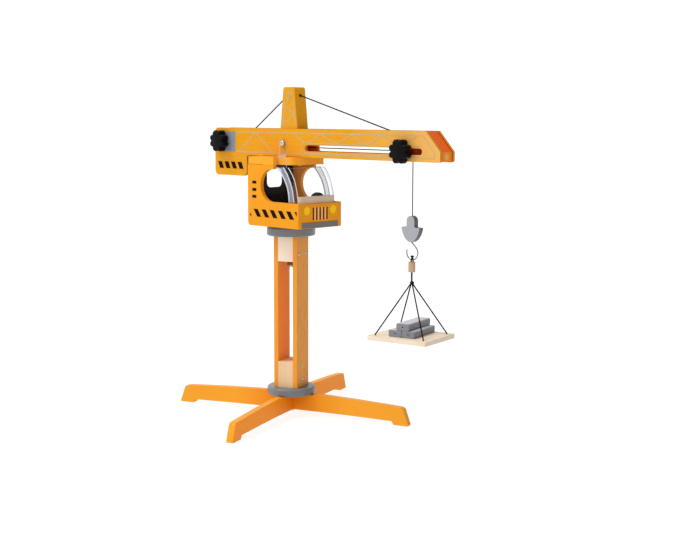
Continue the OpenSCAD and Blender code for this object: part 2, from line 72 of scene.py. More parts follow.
camera = bpy.data.objects.new("camera", bpy.data.cameras.new("camera"))
bpy.context.scene.collection.objects.link(camera)
camera.data.lens = 63.02
camera.data.sensor_width = 36
camera.data.clip_start = 0.05
camera.data.clip_end = 30
TILT, ROLL, AZIMUTH = 82.483, -0.257, 43.722  # degrees
camera.location = at(1512.56, -1437.44, 516.98)
camera.rotation_euler = [math.radians(angle) for angle in (TILT, ROLL, AZIMUTH)]
bpy.context.scene.camera = camera


# ---------------------------------------------------------------- materials


class Shader:
    """One Principled material, with short calls for the nodes it is made of."""

    def __init__(self, name, **values):
        self.material = bpy.data.materials.new(name)
        self.material.use_nodes = True
        self.tree = self.material.node_tree
        self.tree.nodes.clear()
        self.out = self.node("ShaderNodeOutputMaterial")
        self.bsdf = self.node("ShaderNodeBsdfPrincipled")
        self.link(self.bsdf.outputs[0], self.out.inputs[0])
        for key, value in values.items():
            self.bsdf.inputs[key.replace("_", " ")].default_value = value

    def node(self, kind, **settings):
        n = self.tree.nodes.new(kind)
        for key, value in settings.items():
            if hasattr(n, key):
                setattr(n, key, value)
            else:
                n.inputs[key].default_value = value
        return n

    def link(self, a, b):
        self.tree.links.new(a, b)

    def place(self, turn=0.0, scale=(1, 1, 1), shift=(0, 0, 0)):
        """Coordinates in the row frame, turned about the vertical and stretched."""
        where = self.node("ShaderNodeTexCoord")
        m = self.node("ShaderNodeMapping")
        m.inputs["Rotation"].default_value = (0, 0, turn)
        m.inputs["Scale"].default_value = scale
        m.inputs["Location"].default_value = shift
        self.link(where.outputs["Object"], m.inputs[0])
        return m.outputs[0]

    def noise(self, vector, scale, detail=3.0, rough=0.5, distortion=0.0):
        n = self.node("ShaderNodeTexNoise", Scale=scale, Detail=detail, Roughness=rough, Distortion=distortion)
        self.link(vector, n.inputs["Vector"])
        return n.outputs["Fac"]

    def ramp(self, fac, stops):
        n = self.node("ShaderNodeValToRGB")
        e = n.color_ramp.elements
        while len(e) < len(stops):
            e.new(0.5)
        for k, (pos, colour) in enumerate(stops):
            e[k].position = pos
            e[k].color = (*colour, 1)
        self.link(fac, n.inputs[0])
        return n.outputs[0]

    def span(self, fac, a0, a1, b0, b1):
        """fac from a0 to a1 drawn out to b0 to b1."""
        n = self.node("ShaderNodeMapRange")
        for k, v in zip(("From Min", "From Max", "To Min", "To Max"), (a0, a1, b0, b1)):
            n.inputs[k].default_value = v
        self.link(fac, n.inputs[0])
        return n.outputs[0]

    def mix(self, fac, a, b, mode="MIX"):
        n = self.node("ShaderNodeMix", data_type="RGBA", blend_type=mode)
        for socket, v in ((n.inputs[0], fac), (n.inputs[6], a), (n.inputs[7], b)):
            if hasattr(v, "links"):
                self.link(v, socket)
            else:
                socket.default_value = (*v, 1) if hasattr(v, "__len__") else v
        return n.outputs[2]

    def part(self, vector, axis):
        """One component of a vector, and its size."""
        split = self.node("ShaderNodeSeparateXYZ")
        self.link(vector, split.inputs[0])
        size = self.node("ShaderNodeMath", operation="ABSOLUTE")
        self.link(split.outputs[axis], size.inputs[0])
        return split.outputs[axis], size.outputs[0]

    def relief(self, height, strength, distance, soft_edge=0.0):
        n = self.node("ShaderNodeBump", Strength=strength, Distance=distance)
        self.link(height, n.inputs["Height"])
        if soft_edge:
            b = self.node("ShaderNodeBevel", samples=4, Radius=soft_edge)
            self.link(b.outputs[0], n.inputs["Normal"])
        self.link(n.outputs[0], self.bsdf.inputs["Normal"])


def painted_wood(name, light, deep, along="x", turn=0.0, inside_shade=None, hub_shade=None, turned_shade=None, lit_fade=None):
    """Stained and lacquered board: faint grain along it under a satin coat, edges a little broken.

    The last four arguments paint light and shade. The first, (axis, metres, colour), paints that colour as shade and
    bounced light on the faces nearer than that to the mast's axis along that axis. The others paint shade near the
    mast's axis, shade on the faces turned to +X, and paler light towards +X.
    """
    s = Shader(name, IOR=1.22)
    stretch = {"x": (0.05, 1, 1), "y": (1, 0.05, 1), "z": (1, 1, 0.05)}[along]
    v = s.place(turn, stretch)
    grain = s.noise(v, 620, 4, 0.62)
    cloud = s.noise(s.place(turn, shift=(0.3, 0.1, 0.2)), 14, 2)
    base = s.ramp(grain, [(0.3, deep), (0.52, light), (0.8, [min(1, c * 1.04) for c in light])])
    shade = s.ramp(cloud, [(0.3, (0.95, 0.95, 0.95)), (0.7, (1, 1, 1))])
    colour = s.mix(1.0, base, shade, "MULTIPLY")
    # painted light: the board pales towards +X, where more light falls on it
    if lit_fade:
        at_x = s.part(s.place(), 0)[0]
        colour = s.mix(s.span(at_x, 0.08, 0.27, 0.0, 1.0), colour, s.mix(1.0, lit_fade, shade, "MULTIPLY"))
    # painted shade: faces turned to +X take a shaded colour
    if turned_shade:
        turned = s.part(s.node("ShaderNodeTexCoord").outputs["Normal"], 0)[0]
        colour = s.mix(s.span(turned, 0.5, 0.7, 0.0, 1.0), colour, turned_shade)
    # painted shade: faces in the hollow near the mast's axis take a shaded colour
    if inside_shade:
        axis, reach, shaded_colour = inside_shade
        point = s.place(turn, shift=Matrix.Rotation(turn, 3, "Z") @ Vector((-MAST_X / 1000, 0, 0)))
        near = s.span(s.part(point, axis)[1], reach, reach + 0.0002, 1.0, 0.0)
        colour = s.mix(near, colour, shaded_colour)
    # painted shade: the colour deepens near the mast's axis, where the legs shade the hub
    if hub_shade:
        away = s.node("ShaderNodeVectorMath", operation="LENGTH")
        s.link(s.place(0, (1, 1, 0), (-MAST_X / 1000, 0, 0)), away.inputs[0])
        colour = s.mix(s.span(away.outputs["Value"], 0.025, 0.1, 0.85, 0.0), colour, hub_shade)
    s.link(colour, s.bsdf.inputs["Base Color"])
    s.link(s.span(grain, 0.3, 0.7, 0.52, 0.36), s.bsdf.inputs["Roughness"])
    s.relief(grain, 0.1, 0.0002, 0.0008)
    return s.material


def bare_wood(name, light, dark, along="x", turn=0.0, rings=90):
    """Pale beech or pine: soft growth bands with fine flecks along the grain."""
    s = Shader(name, IOR=1.42)
    stretch = {"x": (0.06, 1, 1), "y": (1, 0.06, 1), "z": (1, 1, 0.06)}[along]
    v = s.place(turn, stretch, (0.11, 0.07, 0.05))
    bands = s.noise(v, rings, 2, 0.4, 0.6)
    flecks = s.noise(v, 900, 3, 0.7)
    base = s.ramp(bands, [(0.35, dark), (0.6, light)])
    marks = s.ramp(flecks, [(0.3, (0.84, 0.78, 0.7)), (0.42, (1, 1, 1))])
    s.link(s.mix(0.55, base, marks, "MULTIPLY"), s.bsdf.inputs["Base Color"])
    s.link(s.span(flecks, 0.3, 0.7, 0.68, 0.5), s.bsdf.inputs["Roughness"])
    s.relief(flecks, 0.16, 0.0002, 0.0006)
    return s.material


def plain_paint(name, colour, rough=0.45, speck=0.06, soft=0.0006, ior=1.42, faces=None):
    """Opaque paint or ink with faint unevenness.

    faces is (axis, colour, both): faces turned along the axis, or either way along it, take the colour, which paints
    the light on those faces.
    """
    s = Shader(name, IOR=ior)
    v = s.place()
    n = s.noise(v, 260, 3, 0.6)
    lo = [c * (1 - speck) for c in colour]
    hi = [min(1, c * (1 + speck)) for c in colour]
    base = s.ramp(n, [(0.35, lo), (0.65, hi)])
    if faces:
        axis, tint, both = faces
        turned = s.part(s.node("ShaderNodeTexCoord").outputs["Normal"], axis)[both]
        base = s.mix(s.span(turned, 0.55, 0.9, 0.0, 1.0), base, s.mix(0.15, tint, base))
    s.link(base, s.bsdf.inputs["Base Color"])
    s.link(s.span(n, 0.3, 0.7, rough * 0.9, rough * 1.12), s.bsdf.inputs["Roughness"])
    s.relief(n, 0.08, 0.0002, soft)
    return s.material


def metal(name, colour, rough, scale=700):
    """Plated steel with a faint mottle."""
    s = Shader(name, Metallic=1.0)
    n = s.noise(s.place(), scale, 2, 0.6)
    s.link(s.ramp(n, [(0.3, [c * 0.86 for c in colour]), (0.7, colour)]), s.bsdf.inputs["Base Color"])
    s.link(s.span(n, 0.3, 0.7, rough * 1.3, rough * 0.8), s.bsdf.inputs["Roughness"])
    s.relief(n, 0.05, 0.0001, 0.0002)
    return s.material


def cord_cloth(name, colour):
    """Braided cord, matt and fuzzy."""
    s = Shader(name, IOR=1.25)
    n = s.noise(s.place(), 2600, 3, 0.7)
    yarn = s.ramp(n, [(0.3, [c * 0.6 for c in colour]), (0.7, [c * 1.5 for c in colour])])
    s.link(yarn, s.bsdf.inputs["Base Color"])
    s.link(s.span(n, 0.3, 0.7, 0.9, 0.7), s.bsdf.inputs["Roughness"])
    s.relief(n, 0.4, 0.0002)
    return s.material


def clear_plastic(name, colour=(0.62, 0.65, 0.69), power=4.5, least=0.012, most=0.85):
    """Thin moulded sheet: see-through and faintly hazed, its gloss rising from least to most towards a slant."""
    s = Shader(name, Roughness=0.04, IOR=1.49, Alpha=1.0)
    s.bsdf.inputs["Base Color"].default_value = (*colour, 1)
    n = s.noise(s.place(), 60, 2)
    s.link(s.span(n, 0.3, 0.7, 0.03, 0.07), s.bsdf.inputs["Roughness"])
    weight = s.node("ShaderNodeLayerWeight", Blend=0.5)
    edge = s.node("ShaderNodeMath", operation="POWER")
    s.link(weight.outputs["Facing"], edge.inputs[0])
    edge.inputs[1].default_value = power
    see = s.node("ShaderNodeBsdfTransparent")
    see.inputs["Color"].default_value = (0.985, 0.988, 0.992, 1)
    mix = s.node("ShaderNodeMixShader")
    amount = s.span(edge.outputs[0], 0.0, 1.0, least, most)
    s.link(amount, mix.inputs[0])
    s.link(see.outputs[0], mix.inputs[1])
    s.link(s.bsdf.outputs[0], mix.inputs[2])
    s.link(mix.outputs[0], s.out.inputs[0])
    return s.material


ORANGE = (0.82, 0.315, 0.006)
ORANGE_DEEP = (0.77, 0.265, 0.004)
JIB_ORANGE = (0.755, 0.325, 0.004)
JIB_ORANGE_DEEP = (0.70, 0.275, 0.003)
MAST_ORANGE = (0.82, 0.32, 0.035)
MAST_ORANGE_DEEP = (0.74, 0.26, 0.03)
TIP_ORANGE = (0.82, 0.125, 0.004)
TIP_ORANGE_DEEP = (0.70, 0.095, 0.003)
LEG_ORANGE = (0.86, 0.34, 0.02)
LEG_ORANGE_DEEP = (0.845, 0.325, 0.018)
# painted shade near the hub, where the legs meet under the mast
HUB_SHADE_ORANGE = (0.82, 0.21, 0.004)
# painted shade of the trolley block, down in the jib's slot
SLOT_SHADE_RED = (0.24, 0.018, 0.004)
# painted shade of the jib panels' inside faces, in the hollow between them
INSIDE_SHADE_RED = (0.48, 0.032, 0.006)
GREY = (0.155, 0.172, 0.185)
PALE = (0.80, 0.62, 0.44)
PALE_DARK = (0.72, 0.53, 0.36)
TAN = (0.56, 0.36, 0.22)
TAN_DARK = (0.44, 0.26, 0.15)
LIGHT_PINE = (0.80, 0.68, 0.53)
LIGHT_PINE_DARK = (0.74, 0.59, 0.43)

MATERIALS = {
    "orange_x": painted_wood("orange_x", ORANGE, ORANGE_DEEP, "x"),
    # the jib: painted shade on its inside faces and on its faces turned to +X, and painted light paling it towards the
    # tip
    "orange_jib": painted_wood("orange_jib", JIB_ORANGE, JIB_ORANGE_DEEP, "x", inside_shade=(1, 0.0124, INSIDE_SHADE_RED),
                                turned_shade=(0.60, 0.235, 0.012), lit_fade=(0.77, 0.405, 0.10)),
    # painted light: the roof is a lighter copy of the cab's orange, for the light falling on it
    "orange_roof_lit": painted_wood("orange_roof_lit", (0.92, 0.375, 0.02), (0.87, 0.325, 0.014), "x"),
    "orange_post": painted_wood("orange_post", (0.73, 0.33, 0.008), (0.69, 0.285, 0.006), "z"),
    "orange_y": painted_wood("orange_y", ORANGE, ORANGE_DEEP, "y"),
    "orange_z": painted_wood("orange_z", ORANGE, ORANGE_DEEP, "z"),
    # the mast: its inside faces take a redder colour, painted shade and bounced light between its panels
    "orange_mast": painted_wood("orange_mast", MAST_ORANGE, MAST_ORANGE_DEEP, "z", -SPIN,
                                inside_shade=(0, 0.0142, (0.87, 0.285, 0.002))),
    # the legs: painted shade deepens them near the hub, and the second board's faces turned to +X take a painted shade
    "orange_leg_a": painted_wood("orange_leg_a", LEG_ORANGE, LEG_ORANGE_DEEP, "x", -SPIN, hub_shade=HUB_SHADE_ORANGE),
    "orange_leg_b": painted_wood("orange_leg_b", LEG_ORANGE, LEG_ORANGE_DEEP, "y", -SPIN, hub_shade=HUB_SHADE_ORANGE,
                                  turned_shade=(0.98, 0.30, 0.010)),
    "tip_orange": painted_wood("tip_orange", TIP_ORANGE, TIP_ORANGE_DEEP, "x"),
    # painted shade: the trolley block in the slot is dark red for the shade there
    "slot_shade_red": painted_wood("slot_shade_red", SLOT_SHADE_RED, INSIDE_SHADE_RED, "x"),
    "grey": plain_paint("grey", GREY, 0.32),
    # painted light: the hook block's faces turned along Y are lighter than its edges, for the light on them
    "hook_grey": plain_paint("hook_grey", (0.11, 0.113, 0.12), 0.5, faces=(1, (0.38, 0.39, 0.42), 1)),
    # painted light: the bricks' tops are lighter than their sides, for the light from above
    "brick": plain_paint("brick", (0.205, 0.21, 0.235), 0.5, 0.1, 0.0012, faces=(2, (0.57, 0.575, 0.615), 0)),
    "black_paint": plain_paint("black_paint", (0.008, 0.008, 0.008), 0.4, ior=1.3),
    "black_knob": plain_paint("black_knob", (0.003, 0.003, 0.0035), 0.25, 0.02, 0, ior=1.16),
    "pale_x": bare_wood("pale_x", PALE, PALE_DARK, "x"),
    "pale_y": bare_wood("pale_y", PALE, PALE_DARK, "y"),
    "pale_low": bare_wood("pale_low", (0.80, 0.54, 0.31), (0.76, 0.49, 0.27), "z", -SPIN),
    "pale_high": bare_wood("pale_high", (0.91, 0.72, 0.57), (0.88, 0.67, 0.51), "z", -SPIN),
    "tan_z": bare_wood("tan_z", TAN, TAN_DARK, "z"),
    "pine": bare_wood("pine", LIGHT_PINE, LIGHT_PINE_DARK, "x", -PALLET_TURN, 120),
    "steel": metal("steel", (0.62, 0.62, 0.63), 0.28),
    "wire": metal("wire", (0.30, 0.30, 0.31), 0.24, 900),
    "cord": cord_cloth("cord", (0.006, 0.006, 0.007)),
    "clear": clear_plastic("clear"),
    "clear_ridge": clear_plastic("clear_ridge", (0.86, 0.89, 0.95), 1.0, 0.6, 0.95),
    "clear_band": clear_plastic("clear_band", (0.52, 0.60, 0.78), 1.5, 0.22, 0.6),
    "ink_black": plain_paint("ink_black", (0.010, 0.003, 0.002), 0.6, 0.15, 0, ior=1.14),
    "ink_maroon": plain_paint("ink_maroon", (0.085, 0.010, 0.003), 0.6, 0.1, 0, ior=1.14),
    "ink_cream": plain_paint("ink_cream", (0.84, 0.50, 0.22), 0.5, 0.05, 0),
    "ink_line": plain_paint("ink_line", (0.55, 0.365, 0.13), 0.5, 0.06, 0),
    "ink_mast": plain_paint("ink_mast", (0.58, 0.30, 0.08), 0.5, 0.06, 0),
    "ink_grey": plain_paint("ink_grey", (0.225, 0.245, 0.29), 0.45, 0.06, 0),
    "ink_bumper": plain_paint("ink_bumper", (0.15, 0.147, 0.137), 0.45, 0.06, 0),
    # dark line for the roof's seam, also a painted shadow under the jib and over the bumper
    "ink_seam_and_shadow": plain_paint("ink_seam_and_shadow", (0.40, 0.13, 0.004), 0.6, 0.05, 0, ior=1.2),
    "ink_yellow": plain_paint("ink_yellow", (0.97, 0.56, 0.002), 0.4, 0.03, 0, ior=1.2),
    "ink_pale": plain_paint("ink_pale", (0.76, 0.36, 0.10), 0.5, 0.05, 0),
    "ink_orange": plain_paint("ink_orange", (0.80, 0.235, 0.015), 0.45, 0.05, 0, ior=1.22),
}

LOOKS = {
    "orange_leg_a": ["leg_board_a"],
    "orange_leg_b": ["leg_board_b"],
    "orange_mast": ["mast_panel_left", "mast_panel_right"],
    "orange_z": ["cab_side_near", "cab_side_far"],
    "orange_post": ["mast_peak"],
    "orange_roof_lit": ["roof"],
    "orange_x": ["jib_tail_block", "jib_anchor_rear", "jib_anchor_front"],
    "orange_jib": ["jib_panel_near", "jib_panel_far"],
    "orange_y": ["cab_front"],
    "tip_orange": ["jib_tip_block"],
    "slot_shade_red": ["trolley_block"],
    "grey": ["base_disc", "slew_disc"],
    "hook_grey": ["hook_block"],
    "brick": ["brick_left", "brick_right", "brick_top"],
    "black_paint": ["cab_back", "driver_seat", "steering_wheel"],
    "black_knob": ["winch_knob", "trolley_knob"],
    "pale_x": ["cab_floor", "slew_washer"],
    "pale_y": ["cab_dash", "winch_axle", "winch_drum", "winch_cap", "trolley_bush", "trolley_guide"],
    "pale_low": ["mast_block_bottom"],
    "pale_high": ["mast_block_top"],
    "tan_z": ["sling_bead"],
    "pine": ["pallet"],
    "steel": ["hub_screw", "mast_screws", "pivot_bolt", "pivot_washer", "steering_pin", "roof_screws",
              "visor_screws", "trolley_bolt"],
    "wire": ["hook_wire", "pivot_nut"],
    "cord": ["stay_cord", "hoist_coil", "hoist_rope_run", "hoist_rope_drop", "sling_loop", "sling_cords",
             "sling_knots"],
    "clear": ["visor"],
}
for look, names in LOOKS.items():
    for node_name in names:
        slots = NODES[node_name].data.materials
        if not len(slots):
            slots.append(None)
        for k in range(len(slots)):
            slots[k] = MATERIALS[look]


# ---------------------------------------------------------------- shapes

LAY = 5.0  # length of cord in one turn of its strands


def piece(name, verts, faces, look, body=None, smooth=False):
    """A mesh with its look, and the body that it rides on."""
    mesh = bpy.data.meshes.new(name)
    mesh.from_pydata([tuple(v) for v in verts], [], faces)
    mesh.update()
    bm = bmesh.new()
    bm.from_mesh(mesh)
    bmesh.ops.recalc_face_normals(bm, faces=bm.faces[:])
    bm.to_mesh(mesh)
    bm.free()
    if smooth:
        mesh.polygons.foreach_set("use_smooth", [True] * len(mesh.polygons))
    o = bpy.data.objects.new(name, mesh)
    bpy.context.scene.collection.objects.link(o)
    mesh.materials.append(MATERIALS[look])
    if body:
        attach(o, body)
    return o


class Builder:
    """Gathers the vertices and faces of one piece."""

    def __init__(self):
        self.verts = []
        self.faces = []

    def add(self, verts, faces):
        n = len(self.verts)
        self.verts += verts
        self.faces += [tuple(i + n for i in f) for f in faces]

    def tube(self, line, r, sides=10, strands=0, closed=False):
        """Round or stranded cord along a line of points in millimetres."""
        pts = [at(*p) for p in line]
        r /= 1000
        n = len(pts)
        tangents = []
        for k in range(n):
            a = pts[k - 1] if (k or closed) else pts[0]
            b = pts[(k + 1) % n] if (k < n - 1 or closed) else pts[-1]
            tangents.append((b - a).normalized())
        side = tangents[0].orthogonal().normalized()
        verts, run = [], 0.0
        for k in range(n):
            if k:
                run += (pts[k] - pts[k - 1]).length
                turn = tangents[k - 1].rotation_difference(tangents[k])
                side = turn @ side
                side = (side - tangents[k] * side.dot(tangents[k])).normalized()
            other = tangents[k].cross(side)
            lay = run / (LAY / 1000) * 2 * math.pi
            for i in range(sides):
                t = 2 * math.pi * i / sides
                rr = r * (0.94 + 0.06 * math.cos(strands * t - lay)) if strands else r
                verts.append(pts[k] + side * (rr * math.cos(t)) + other * (rr * math.sin(t)))
        faces = []
        last = n if closed else n - 1
        for k in range(last):
            for i in range(sides):
                a, b = k * sides + i, k * sides + (i + 1) % sides
                c, d = ((k + 1) % n) * sides + (i + 1) % sides, ((k + 1) % n) * sides + i
                faces.append((a, b, c, d))
        if not closed:
            faces.append(tuple(range(sides)))
            faces.append(tuple((n - 1) * sides + i for i in range(sides)))
        self.add(verts, faces)

    def screw(self, centre, axis, r, dome):
        """Pan head with a cross recess, standing on its centre."""
        axis = Vector(axis).normalized()
        u = axis.orthogonal().normalized()
        w = axis.cross(u)
        c = Vector(centre)
        rings, sides = 14, 64
        slot, reach = r * 0.17, r * 0.62  # half the recess's width, and how far it reaches out
        verts, faces = [], []
        for k in range(rings + 1):
            q = k / rings
            for i in range(sides):
                t = 2 * math.pi * i / sides
                x, y = r * q * math.cos(t), r * q * math.sin(t)
                h = dome * (1 - q ** 3.2 * 0.85)
                depth = 0.0
                for p, s in ((abs(x), abs(y)), (abs(y), abs(x))):
                    if p < reach and s < slot:
                        depth = max(depth, min(1, (slot - s) / (slot * 0.4), (reach - p) / (r * 0.2)))
                h -= dome * 0.75 * depth
                verts.append(at(*(c + axis * h + u * x + w * y)))
        for i in range(sides):
            t = 2 * math.pi * i / sides
            verts.append(at(*(c + u * (r * math.cos(t)) + w * (r * math.sin(t)))))
        for k in range(rings + 1):
            for i in range(sides):
                a, b = k * sides + i, k * sides + (i + 1) % sides
                faces.append((a, b, b + sides, a + sides))
        self.add(verts, faces)

    def make(self, name, look, body=None, smooth=False):
        return piece(name, self.verts, self.faces, look, body, smooth)


def rounded(points, radius, step=12.0):
    """The line through the points with its corners turned on arcs."""
    pts = [Vector(p) for p in points]
    line = [pts[0]]
    for a, b, c in zip(pts, pts[1:], pts[2:]):
        u, v = (a - b).normalized(), (c - b).normalized()
        half = math.acos(max(-1, min(1, u.dot(v)))) / 2
        if radius <= 0 or half > math.radians(89):
            line.append(b)
            continue
        cut = min(radius / math.tan(half), 0.49 * (a - b).length, 0.49 * (c - b).length)
        r = cut * math.tan(half)
        middle = b + (u + v).normalized() * (r / math.sin(half))
        p, q = b + u * cut - middle, b + v * cut - middle
        turn = p.angle(q)
        for k in range(9):
            t = k / 8
            line.append(middle + (p * math.sin((1 - t) * turn) + q * math.sin(t * turn)) / math.sin(turn))
    line.append(pts[-1])
    full = [line[0]]
    for p in line[1:]:
        n = max(1, math.ceil((p - full[-1]).length / step))
        start = full[-1]
        full += [start.lerp(p, (k + 1) / n) for k in range(n)]
    return full


# ---------------------------------------------------------------- cords

STEP = 0.45  # spacing of a cord's points
ROPE_R, STAY_R, SLING_R = 0.85, 1.1, 1.15
BEND = 2.3  # of the rope over the trolley, and of the sling's loop over the hook
HOLE_X, HOLE_Y = 43.5, 36.5  # the pallet's holes from its middle


def cord_piece(name, route, r, body):
    """A cord of three strands along its route."""
    b = Builder()
    b.tube(rounded(route, 0, STEP), r, 12, 3)
    return b.make(name, "cord", body, True)


def turns_round_winch(r, turns, y0, y1, first=0):
    """Points of rope wound at radius r from y0 to y1."""
    n = round(24 * turns)
    line = []
    for k in range(first, n + 1):
        t = 2 * math.pi * k / 24
        line.append((WINCH_X + r * math.sin(t), y0 + (y1 - y0) * k / n, WINCH_Z + r * math.cos(t)))
    return line


def on_pallet(x, y, z):
    """A point from the pallet's middle, along its own sides."""
    c, s = math.cos(PALLET_TURN), math.sin(PALLET_TURN)
    return Vector((ROPE_X + c * x - s * y, s * x + c * y, z))


def knot(b, centre, size, r, turn=0.0, lean=0.0):
    """A tight overhand knot."""
    line = []
    for k in range(60):
        t = 2 * math.pi * k / 60
        p = Vector((math.sin(t) + 2 * math.sin(2 * t), math.cos(t) - 2 * math.cos(2 * t), -1.5 * math.sin(3 * t)))
        p = Matrix.Rotation(turn, 3, "Z") @ Matrix.Rotation(lean, 3, "X") @ p
        line.append(Vector(centre) + p * size / 3)
    b.tube(line, r, 10, closed=True)


# the stay cord, from the rear block over the post to the front block
route = rounded([(STAY_END, 0, 472), (STAY_END, 0, 490), (-7.5, 0, STAY_Z), (23.5, 0, STAY_Z), (227, 0, 490),
                 (227, 0, 472)], 2.4)
stay = cord_piece("stay_line", route, STAY_R, "upper")
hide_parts("stay_cord")

# the hoist rope: turns on the drum, the run along the jib, the drop to the hook
b = Builder()
b.tube(turns_round_winch(5.65, 9, -8.2, 8.2) + turns_round_winch(7.2, 4.5, 8.1, 0.0, 1), ROPE_R, 8)
turns = b.make("rope_turns", "cord", "winch", True)
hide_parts("hoist_coil")

route = rounded([(WINCH_X, 0, 460.8), (ROPE_X, 0, SLOT_Z), (ROPE_X, 0, ROPE_TURN)], BEND)
run = cord_piece("rope_run", route, ROPE_R, None)
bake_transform(run)
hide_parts("hoist_rope_run")

route = rounded([(ROPE_X, 0, ROPE_TURN), (ROPE_X, 0, 353)], 0)
drop = cord_piece("rope_drop", route, ROPE_R, None)
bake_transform(drop)
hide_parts("hoist_rope_drop")

# the sling's loop over the hook's wire, with a small knot above it
arch = [(HOOK_X, BEND * math.cos(t), 291.2 + BEND * math.sin(t)) for t in [math.pi * k / 16 for k in range(17)]]
b = Builder()
b.tube(rounded([(HOOK_X, BEND, 280)] + arch + [(HOOK_X, -BEND, 280)], 0, STEP), SLING_R, 12, 3)
knot(b, (HOOK_X, 0, 295.9), 1.8, 1.05, 0.3, 1.2)
loop_piece = b.make("sling_loop_line", "cord", "sling", True)
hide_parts("sling_loop")

# the sling's four legs to the pallet's corners
for k, (i, j) in enumerate(CORNERS):
    # two of the four run up through the knot into the bead, the other two are tied off in the knot
    up = i != j
    start = on_pallet(i * 0.85, j * 0.85, 277.5) if up else on_pallet(i * 0.5, j * 0.5, 254.6)
    route = rounded([start] + ([on_pallet(i * 0.85, j * 0.85, 256)] if up else [])
                    + [on_pallet(i * HOLE_X, j * HOLE_Y, 174.2), on_pallet(i * HOLE_X, j * HOLE_Y, 168.5)], 2.0)
    leg = cord_piece(f"sling_leg_{k}", route, SLING_R, "load")

# the knot under the bead, and one under each corner of the pallet
b = Builder()
knot(b, on_pallet(0, 0, 254.4), 2.9, 1.1, 0.4, 0.5)
top_knot = b.make("sling_knot", "cord", "load", True)
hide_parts("sling_cords")
b = Builder()
for k, (i, j) in enumerate(CORNERS):
    knot(b, on_pallet(i * HOLE_X, j * HOLE_Y, 167.5), 1.5, 0.85, k * 1.1, 1.2)
end_knots = b.make("sling_end_knots", "cord", "load", True)
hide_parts("sling_knots")


# ---------------------------------------------------------------- visor

# places on a cheek as (z, x), from the bottom up
FRONT = [(370, 67.6), (377, 67.2), (384.5, 66), (392.3, 64), (399.6, 61.1), (406.3, 57.8), (412.4, 53.8), (420, 48.6),
         (427, 43.2)]
REAR = [(370, 40.4), (378, 39.9), (386.7, 38.6), (394, 36.2), (402, 32.4), (409, 27.8), (416, 22), (421.5, 16.6),
        (426, 11)]
FIRST = [(369, 51.8), (391.6, 47.4), (404, 42.3), (417, 35.3), (427.4, 26.4)]
SECOND = [(372.6, 62.7), (392.2, 59.5), (410, 54), (424.9, 44.2), (429.3, 38.7)]
WALL = 42.3  # outside of the visor's cheeks
LUG = 19.3  # outside of the straps on the jib's sides
FILLET = 10.5  # between a cheek and the front
LEVELS = 22  # rows of faces from the bottom to the roof
# (y, z, rear x, front x) up a cheek's strap: past the roof, over it and up the jib's side to a round lug
STRAP = [(-WALL, 427, 11, 33), (-WALL, 433, 11, 33), (-WALL, 440, 11, 32), (-41.6, 443.4, 10.4, 31),
         (-39.2, 445.5, 8.6, 29), (-34, 446.2, 4.5, 24), (-27, 446.7, -1.5, 16.5), (-22.5, 447.4, -5, 11.5),
         (-20, 449.2, -6.6, 9), (-LUG, 452, -7.4, 8.2), (-LUG, 457, -7.8, 7.8), (-LUG, 461, -8.2, 8.2),
         (-LUG, 466, -8.5, 8.5), (-LUG, 469.5, -7.7, 7.7), (-LUG, 472.3, -5.7, 5.7), (-LUG, 474, -2.9, 2.9)]


def between(table, z):
    """Value at z from a list of (z, value), rising in z."""
    for (z0, a), (z1, c) in zip(table, table[1:]):
        if z <= z1:
            return a + (c - a) * (z - z0) / (z1 - z0)
    return table[-1][1]


def smooth_line(table):
    """The x of a table at LEVELS steps from its bottom to its top, with its corners worn down.

    Each line is then drawn on the rows of FRONT, whatever its own height.
    """
    z0, z1 = table[0][0], table[-1][0]
    xs = [between(table, z0 + (z1 - z0) * k / LEVELS) for k in range(LEVELS + 1)]
    for _ in range(3):
        xs = [xs[0]] + [(xs[k - 1] + 2 * xs[k] + xs[k + 1]) / 4 for k in range(1, LEVELS)] + [xs[-1]]
    return xs


def net(rows):
    """Vertices and faces of a sheet through rows of points."""
    wide = len(rows[0])
    faces = [(r * wide + c, r * wide + c + 1, (r + 1) * wide + c + 1, (r + 1) * wide + c)
             for r in range(len(rows) - 1) for c in range(wide - 1)]
    return [at(*p) for row in rows for p in row], faces


zs = [FRONT[0][0] + (FRONT[-1][0] - FRONT[0][0]) * k / LEVELS for k in range(LEVELS + 1)]
fronts, rears, firsts, seconds = (smooth_line(table) for table in (FRONT, REAR, FIRST, SECOND))
rows = []
for z, xf, xr in zip(zs, fronts, rears):
    near = [(xr + (xf - FILLET - xr) * k / 5, -WALL) for k in range(5)]
    turn = [(xf - FILLET + FILLET * math.sin(t), -WALL + FILLET - FILLET * math.cos(t))
            for t in [math.pi / 2 * k / 8 for k in range(9)]]
    face = [(xf, (-WALL + FILLET) * (1 - 2 * k / 6)) for k in range(1, 6)]
    half = near + turn
    rows.append([(x, y, z) for x, y in half + face + [(x, -y) for x, y in reversed(half)]])
b = Builder()
b.add(*net(rows))
for side in (1, -1):
    b.add(*net([[(x0 + (x1 - x0) * c / 6, y * side, z) for c in range(7)] for y, z, x0, x1 in STRAP]))
shell = b.make("visor_shell", "clear", "visor", True)
bm = bmesh.new()
bm.from_mesh(shell.data)
bmesh.ops.remove_doubles(bm, verts=bm.verts[:], dist=0.00002)
bmesh.ops.recalc_face_normals(bm, faces=bm.faces[:])
bmesh.ops.solidify(bm, geom=bm.faces[:], thickness=0.0015)
bm.to_mesh(shell.data)
bm.free()
shell.data.polygons.foreach_set("use_smooth", [True] * len(shell.data.polygons))
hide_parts("visor")

